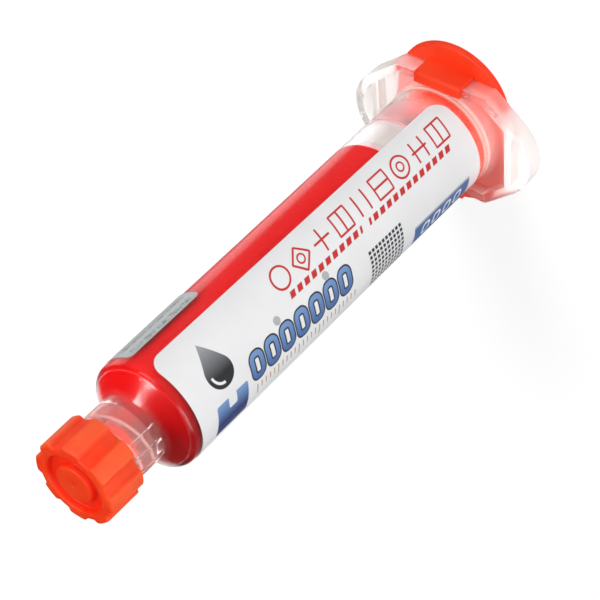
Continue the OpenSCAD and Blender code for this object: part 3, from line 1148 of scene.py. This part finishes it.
@dataclass
class TipCap:
    """Lobed tip cap: skirt over the collar, recessed end face, sleeve and two lugs."""

    crest: float = 7.15
    groove: float = 0.65
    lobes: int = 8
    share: float = 0.46
    flank: float = 0.13
    first: float = -93.0
    lobe_from: float = 5.6
    lobe_full: float = 6.7
    lobe_steps: int = 512
    low: float = 88.25
    end: float = 95.15
    gate: float = 0.12
    recess: float = 1.1
    boss_r: float = 3.2
    recess_r: float = 5.2
    draft: float = 0.15
    skirt_r: float = 6.0
    roof: float = 90.55
    foot: float = 85.45
    sleeve_r: float = 3.59
    hole_low: float = 2.26
    hole_high: float = 2.03
    hole_top: float = 92.65
    lug_root: float = 3.49
    lug_reach: float = 3.9
    lug_half: float = 0.30
    lug_z: float = 86.0
    lug_half_h: float = 0.45
    crease: float = 40.0
    # Its finish paints a paler sheen on the lobes' crests and a redder glow and shade in the end
    # face's recess
    finish: OrangeMoulding = OrangeMoulding(
        deep=(0.95, 0.040, 0.003), crest=(6.6, 7.1), pit_end=95.15, soaked=0.6, soak_depth=0.0018
    )

    def section(self) -> Array:
        """Half section from the gate mark round the skirt and sleeve to the hole's roof.

        Returns:
            Array of (radius, height) rows.
        """
        return rounded([
            (0, self.end - self.gate, 0),
            (0.42, self.end - self.gate, 0.08),
            (0.5, self.end, 0.1),
            (self.boss_r, self.end, 0.35),
            (self.boss_r + self.draft, self.end - self.recess, 0.3),
            (self.recess_r - self.draft, self.end - self.recess, 0.3),
            (self.recess_r, self.end, 0.3),
            (self.crest, self.end, 0.5),
            (self.crest, self.low, 0.2),
            (self.skirt_r, self.low, 0.25),
            (self.skirt_r, self.roof, 0.2),
            (self.sleeve_r, self.roof, 0.3),
            (self.sleeve_r, self.foot, 0.06),
            (self.hole_low, self.foot, 0.3),
            (self.hole_high, self.hole_top, 0.1),
            (0, self.hole_top, 0),
        ])

    def lobe(self, angle: Array) -> Array:
        """How far the wall lies under the crest at an angle.

        From the middle of a lobe outwards the wall keeps to the crest over the lobe's
        share of the pitch, falls on an S curve over the flank, and stays in the groove.

        Args:
            angle: angles in radians.

        Returns:
            Depth under the crest in millimetres.
        """
        pitch = FULL_TURN / self.lobes
        off = np.abs((angle - math.radians(self.first) + pitch / 2) % pitch - pitch / 2) / pitch
        t = np.clip((off - self.share / 2 + 0.01) / self.flank, 0, 1)
        return self.groove * t * t * (3 - 2 * t)

    def shell(self) -> Array:
        """Surface of revolution whose outer wall falls by the lobes' depth.

        The fall grows over the end face, from where the lobes start to where they are
        full, and the skirt's inside has none.

        Returns:
            Grid of points, section by angle.
        """
        r, z = self.section()[:, :1], self.section()[:, 1:]
        lobed = np.clip((r - self.lobe_from) / (self.lobe_full - self.lobe_from), 0, 1)
        lobed = np.where(r > self.skirt_r + 0.05, lobed, 0.0)
        angle = ring(self.lobe_steps)
        return polar(r - lobed * self.lobe(angle), angle, z)

    def lug(self, side: float) -> Array:
        """One lug: a rounded box bent round the sleeve.

        Across its width the angle and along its height the z run on a rounded square,
        and the radius grows from inside the sleeve to the lug's reach.

        Args:
            side: angle of its middle in radians.

        Returns:
            Grid of points, inside out by round the lug.
        """
        t = ring(32)
        s = np.array([0.0, 0.0, 0.55, 0.85, 1.0, 1.0])[:, None]
        size = np.array([0.0, 1.0, 1.0, 0.97, 0.8, 0.0])[:, None]
        square = (np.abs(np.cos(t)) ** 6 + np.abs(np.sin(t)) ** 6) ** (-1 / 6)
        angle = side + self.lug_half * size * square * np.cos(t)
        z = self.lug_z + self.lug_half_h * size * square * np.sin(t)
        return polar(self.lug_root + (self.lug_reach - self.lug_root) * s, angle, z)

    def build(self) -> None:
        """Makes the cap and its lugs."""
        material = self.finish.material()
        cap = grid_piece("lobed_tip_cap", self.shell(), self.crease)
        dress(cap, material, Body.TIP_CAP)
        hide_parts("tip_cap")
        for number, side in enumerate((0.0, math.pi), 1):
            piece = grid_piece(f"cap_lug_{number}", self.lug(side))
            dress(piece, material, Body.TIP_CAP)


@dataclass
class EndCap:
    """Orange end cap that closes the flange, with its plug and clips."""

    edge: float = 0.2
    plate: float = 1.3
    press: float = 0.02
    finish: OrangeMoulding = OrangeMoulding(
        name="orange_end_cap", colour=(0.95, 0.048, 0.005), deep=(0.90, 0.038, 0.004)
    )

    def build(self) -> None:
        """Makes the cap, with its plate's front pressed a little into the flange."""
        piece = softened("end_cap", "clipped_end_cap", self.edge)
        points = np.empty(3 * len(piece.data.vertices))
        piece.data.vertices.foreach_get("co", points)
        front = np.abs(points[2::3] - self.plate * MM) < 0.01 * MM
        points[2::3] += np.where(front, self.press * MM, 0.0)
        piece.data.vertices.foreach_set("co", points)
        dress(piece, self.finish.material(), Body.BARREL)


@dataclass
class Label:
    """Sheet glued round the barrel, with rounded corners and a UV map over its sides."""

    name: str
    node: str
    slot: Slot
    start: float
    turn: float
    low: float
    high: float
    corner: float
    thickness: float
    skew: float = 0.0
    radius: float = 9.32
    crease: float = 40.0
    corner_rows: int = 12
    straight_rows: int = 48
    columns: int = 121

    @property
    def size(self) -> Ramp:
        """Width round the barrel and length along it."""
        return math.radians(self.turn) * self.radius, self.high - self.low

    def sheet(self, depth: float) -> tuple[Array, Array]:
        """One face of the sheet.

        The length runs over the whole height. At each height the two long edges draw in
        by what the rounded corner takes, q - sqrt(q^2 - (q - d)^2) at the distance d from
        an end. The sheet sits a little skew, so its long edges drift as they run back.

        Args:
            depth: how far the face lies over the glue.

        Returns:
            The grid of points and of places on the label from 0 to 1.
        """
        width, length = self.size
        q = self.corner
        round_end = q * (1 - np.cos(np.linspace(0, math.pi / 2, self.corner_rows)))
        straight = np.linspace(q, length - q, self.straight_rows)[1:-1]
        y = np.concatenate([round_end, straight, length - round_end[::-1]])
        d = np.minimum(np.minimum(y, length - y), q)
        inset = q - np.sqrt(np.maximum(q * q - (q - d) ** 2, 0))
        u = np.linspace(0, 1, self.columns)[:, None]
        x = inset + (width - 2 * inset) * u
        angle = math.radians(self.start) - (x + self.skew * (1 - y / length)) / self.radius
        places = np.stack([x / width, 1 - (y + 0 * x) / length], -1)
        return polar(self.radius + depth, angle, self.low + y), places

    def build(self, material: Material) -> None:
        """Makes the sheet with both faces and its edge.

        Args:
            material: its finish.
        """
        front, places = self.sheet(self.thickness)
        back, _ = self.sheet(0.0)
        shape = front.shape[:2]
        count = shape[0] * shape[1]
        index = np.arange(count).reshape(shape)
        faces = grid_faces(shape, Wrap.OPEN)
        rim = np.concatenate([index[:, 0], index[-1, 1:], index[-2::-1, -1], index[0, -2:0:-1]])
        after = np.roll(rim, -1)
        edge = np.stack([rim, after, after + count, rim + count], -1)
        mesh = bpy.data.meshes.new(self.name)
        points = np.concatenate([front, back]).reshape(-1, 3) * MM
        mesh.from_pydata(points, [], np.concatenate([faces[:, ::-1], faces + count, edge]))
        layer = mesh.uv_layers.new(name="label")
        loops = np.empty(len(mesh.loops), np.int64)
        mesh.loops.foreach_get("vertex_index", loops)
        layer.data.foreach_set("uv", places.reshape(-1, 2)[loops % count].ravel())
        close_shell(mesh)
        piece = new_piece(self.name, mesh, self.crease)
        dress(piece, material, Body.BARREL)
        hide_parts(self.node)


def turned(right: Array, up: Array, place: Point) -> Matrix:
    """Turn and place of a lamp or camera: its axes are right, up and their cross product.

    Args:
        right: unit vector to its right.
        up: unit vector to its top.
        place: where it stands, in millimetres.

    Returns:
        The matrix, in metres.
    """
    matrix = np.eye(4)
    matrix[:3, :3] = np.stack([right, up, np.cross(right, up)], 1)
    matrix[:3, 3] = np.array(place) * MM
    return Matrix(matrix.tolist())


@dataclass(frozen=True)
class Lamp:
    """A soft square lamp that looks at a point of the syringe."""

    name: str
    place: Point
    side: float
    watts: float
    mirrored: bool = True
    aim: Point = (0.0, 0.0, 50.0)

    def build(self) -> None:
        """Makes the lamp."""
        data = bpy.data.lights.new(self.name, "AREA")
        data.size = self.side * MM
        data.energy = self.watts
        lamp = new_object(self.name, data)
        lamp.visible_glossy = self.mirrored
        back = np.array(self.place) - np.array(self.aim)
        back /= np.linalg.norm(back)
        right = np.cross((0, 0, 1.0), back)
        right /= np.linalg.norm(right)
        lamp.matrix_world = turned(right, np.cross(back, right), self.place)


@dataclass(frozen=True)
class Studio:
    """White floor and surroundings, soft lamps and the camera of the photograph.

    Levels are strengths of white. A ray that was mirrored outside the plastic sees dark
    surroundings and the floor's two bright cards, given as pairs of directions in
    degrees. One that was mirrored inside it sees the inner level.
    """

    lamps: tuple[Lamp, ...] = (
        Lamp("key", (85.0, -230.0, 500.0), 150.0, 1.30),
        Lamp("side", (90.0, -470.0, 120.0), 300.0, 0.55),
        Lamp("fill", (-470.0, -40.0, 110.0), 420.0, 1.9),
        Lamp("back", (300.0, 360.0, 120.0), 320.0, 0.36, mirrored=False),
    )
    surround: float = 0.30
    mirrored: float = 0.04
    inner: float = 0.8
    cards: tuple[Ramp, ...] = ((-19.0, 13.0), (31.0, 80.0))
    card_edges: Ramp = (1.5, 5.0)
    card_level: float = 0.95
    floor_seen: Band = (120.0, 380.0, 0.78, 0.97)
    floor_through: float = 0.93
    floor_size: float = 3.0
    floor_gap: float = 0.05
    camera_place: Point = (-163.238, -235.119, 233.802)
    camera_right: Point = (-0.796712, 0.063976, -0.600963)
    camera_up: Point = (0.381401, -0.718132, -0.582082)
    focal_pixels: float = 2258.776
    frame_pixels: float = 600.0
    sensor: float = 36.0

    def world(self) -> None:
        """Plain white surroundings, which are 1 where they are seen."""
        world = bpy.data.worlds.new("studio")
        world.use_nodes = True
        bpy.context.scene.world = world
        net = Network(world.node_tree)
        path = net.add("ShaderNodeLightPath").outputs
        through = net.math("MAXIMUM", path["Is Camera Ray"], path["Is Transmission Ray"])
        inside = net.times(path["Is Glossy Ray"], path["Transmission Depth"])
        seen = net.math("MAXIMUM", through, net.spread(inside, 0, 1, 0, self.inner))
        dull = net.spread(path["Is Glossy Ray"], 0, 1, self.surround, self.mirrored)
        background = net.tree.nodes["Background"].inputs
        net.feed(background["Strength"], net.spread(seen, 0, 1, dull, 1.0))
        net.feed(background["Color"], (1.0, 1.0, 1.0))

    def floor(self) -> None:
        """Pale floor that keeps the syringe's shadow and is white where it is seen."""
        half = self.floor_size / 2
        corners = np.array([(-1, -1, 0), (1, -1, 0), (1, 1, 0), (-1, 1, 0)]) * half
        corners[:, 2] = -self.floor_gap * MM
        mesh = bpy.data.meshes.new("floor")
        mesh.from_pydata(corners, [], [(0, 1, 2, 3)])
        piece = new_object("floor", mesh)
        net = Finish("floor")
        path = net.add("ShaderNodeLightPath").outputs
        glossy, through = path["Is Glossy Ray"], path["Is Transmission Ray"]
        seen = net.math("MAXIMUM", net.math("MAXIMUM", path["Is Camera Ray"], through), glossy)
        x, y, _ = net.parts(net.place)
        turn = net.times(net.math("ARCTAN2", y, x), 180 / math.pi)
        sharp, soft = self.card_edges
        card = 0.0
        for low, high in self.cards:
            rise = net.spread(turn, low - sharp, low + sharp)
            fall = net.spread(turn, high - soft, high + soft, 1, 0)
            card = net.math("MULTIPLY_ADD", rise, fall, card)
        inside = net.times(path["Transmission Depth"], self.inner)
        card = net.math("MAXIMUM", card, net.math("MINIMUM", inside, self.inner))
        glow = net.times(glossy, net.spread(card, 0, 1, 0.0, self.card_level))
        near = net.spread(net.reach(), *self.floor_seen)
        glow = net.math("MULTIPLY_ADD", path["Is Camera Ray"], near, glow)
        glow = net.math("MULTIPLY_ADD", through, self.floor_through, glow)
        paint = net.blend(net.noise(6, 2), (0.80, 0.80, 0.80), (0.82, 0.82, 0.82))
        net.set(
            Base_Color=net.blend(seen, paint, (0.3, 0.3, 0.3)),
            Roughness=0.9,
            Specular_IOR_Level=0.0,
            Emission_Color=(1.0, 1.0, 1.0),
            Emission_Strength=glow,
        )
        mesh.materials.append(net.material)

    def camera(self) -> None:
        """Camera whose place, turn and focal length were fitted to the photograph."""
        data = bpy.data.cameras.new("camera")
        data.sensor_fit = "HORIZONTAL"
        data.sensor_width = self.sensor
        data.lens = self.focal_pixels / self.frame_pixels * self.sensor
        data.clip_start = 0.01
        data.clip_end = 10.0
        camera = new_object("camera", data)
        right, up = np.array(self.camera_right), np.array(self.camera_up)
        camera.matrix_world = turned(right, up, self.camera_place)
        bpy.context.scene.camera = camera

    def build(self) -> None:
        """Makes the surroundings, floor, lamps and camera."""
        self.world()
        self.floor()
        for lamp in self.lamps:
            lamp.build()
        self.camera()
        bpy.context.scene.view_settings.view_transform = "Standard"


def main() -> None:
    """Builds the studio, then the syringe piece by piece."""
    logging.basicConfig(level=logging.INFO, format="%(message)s")
    for part in (Studio(), Barrel(), EndCap(), Paste(), Piston(), TipCap()):
        part.build()
    wrap = Label(
        name="printed_wrap_label", node="wrap_label", slot=Slot.COATED, start=-91.5, turn=235.0,
        low=7.3, high=77.8, corner=2.6, thickness=0.1, skew=0.8,
    )
    wrap.build(CoatedLabel(wrap.size).material())
    batch = Label(
        name="printed_batch_label", node="batch_label", slot=Slot.FOIL, start=-22.0, turn=50.0,
        low=61.8, high=77.8, corner=1.0, thickness=0.08,
    )
    batch.build(FoilLabel(batch.size).material())


if __name__ == "__main__":
    main()
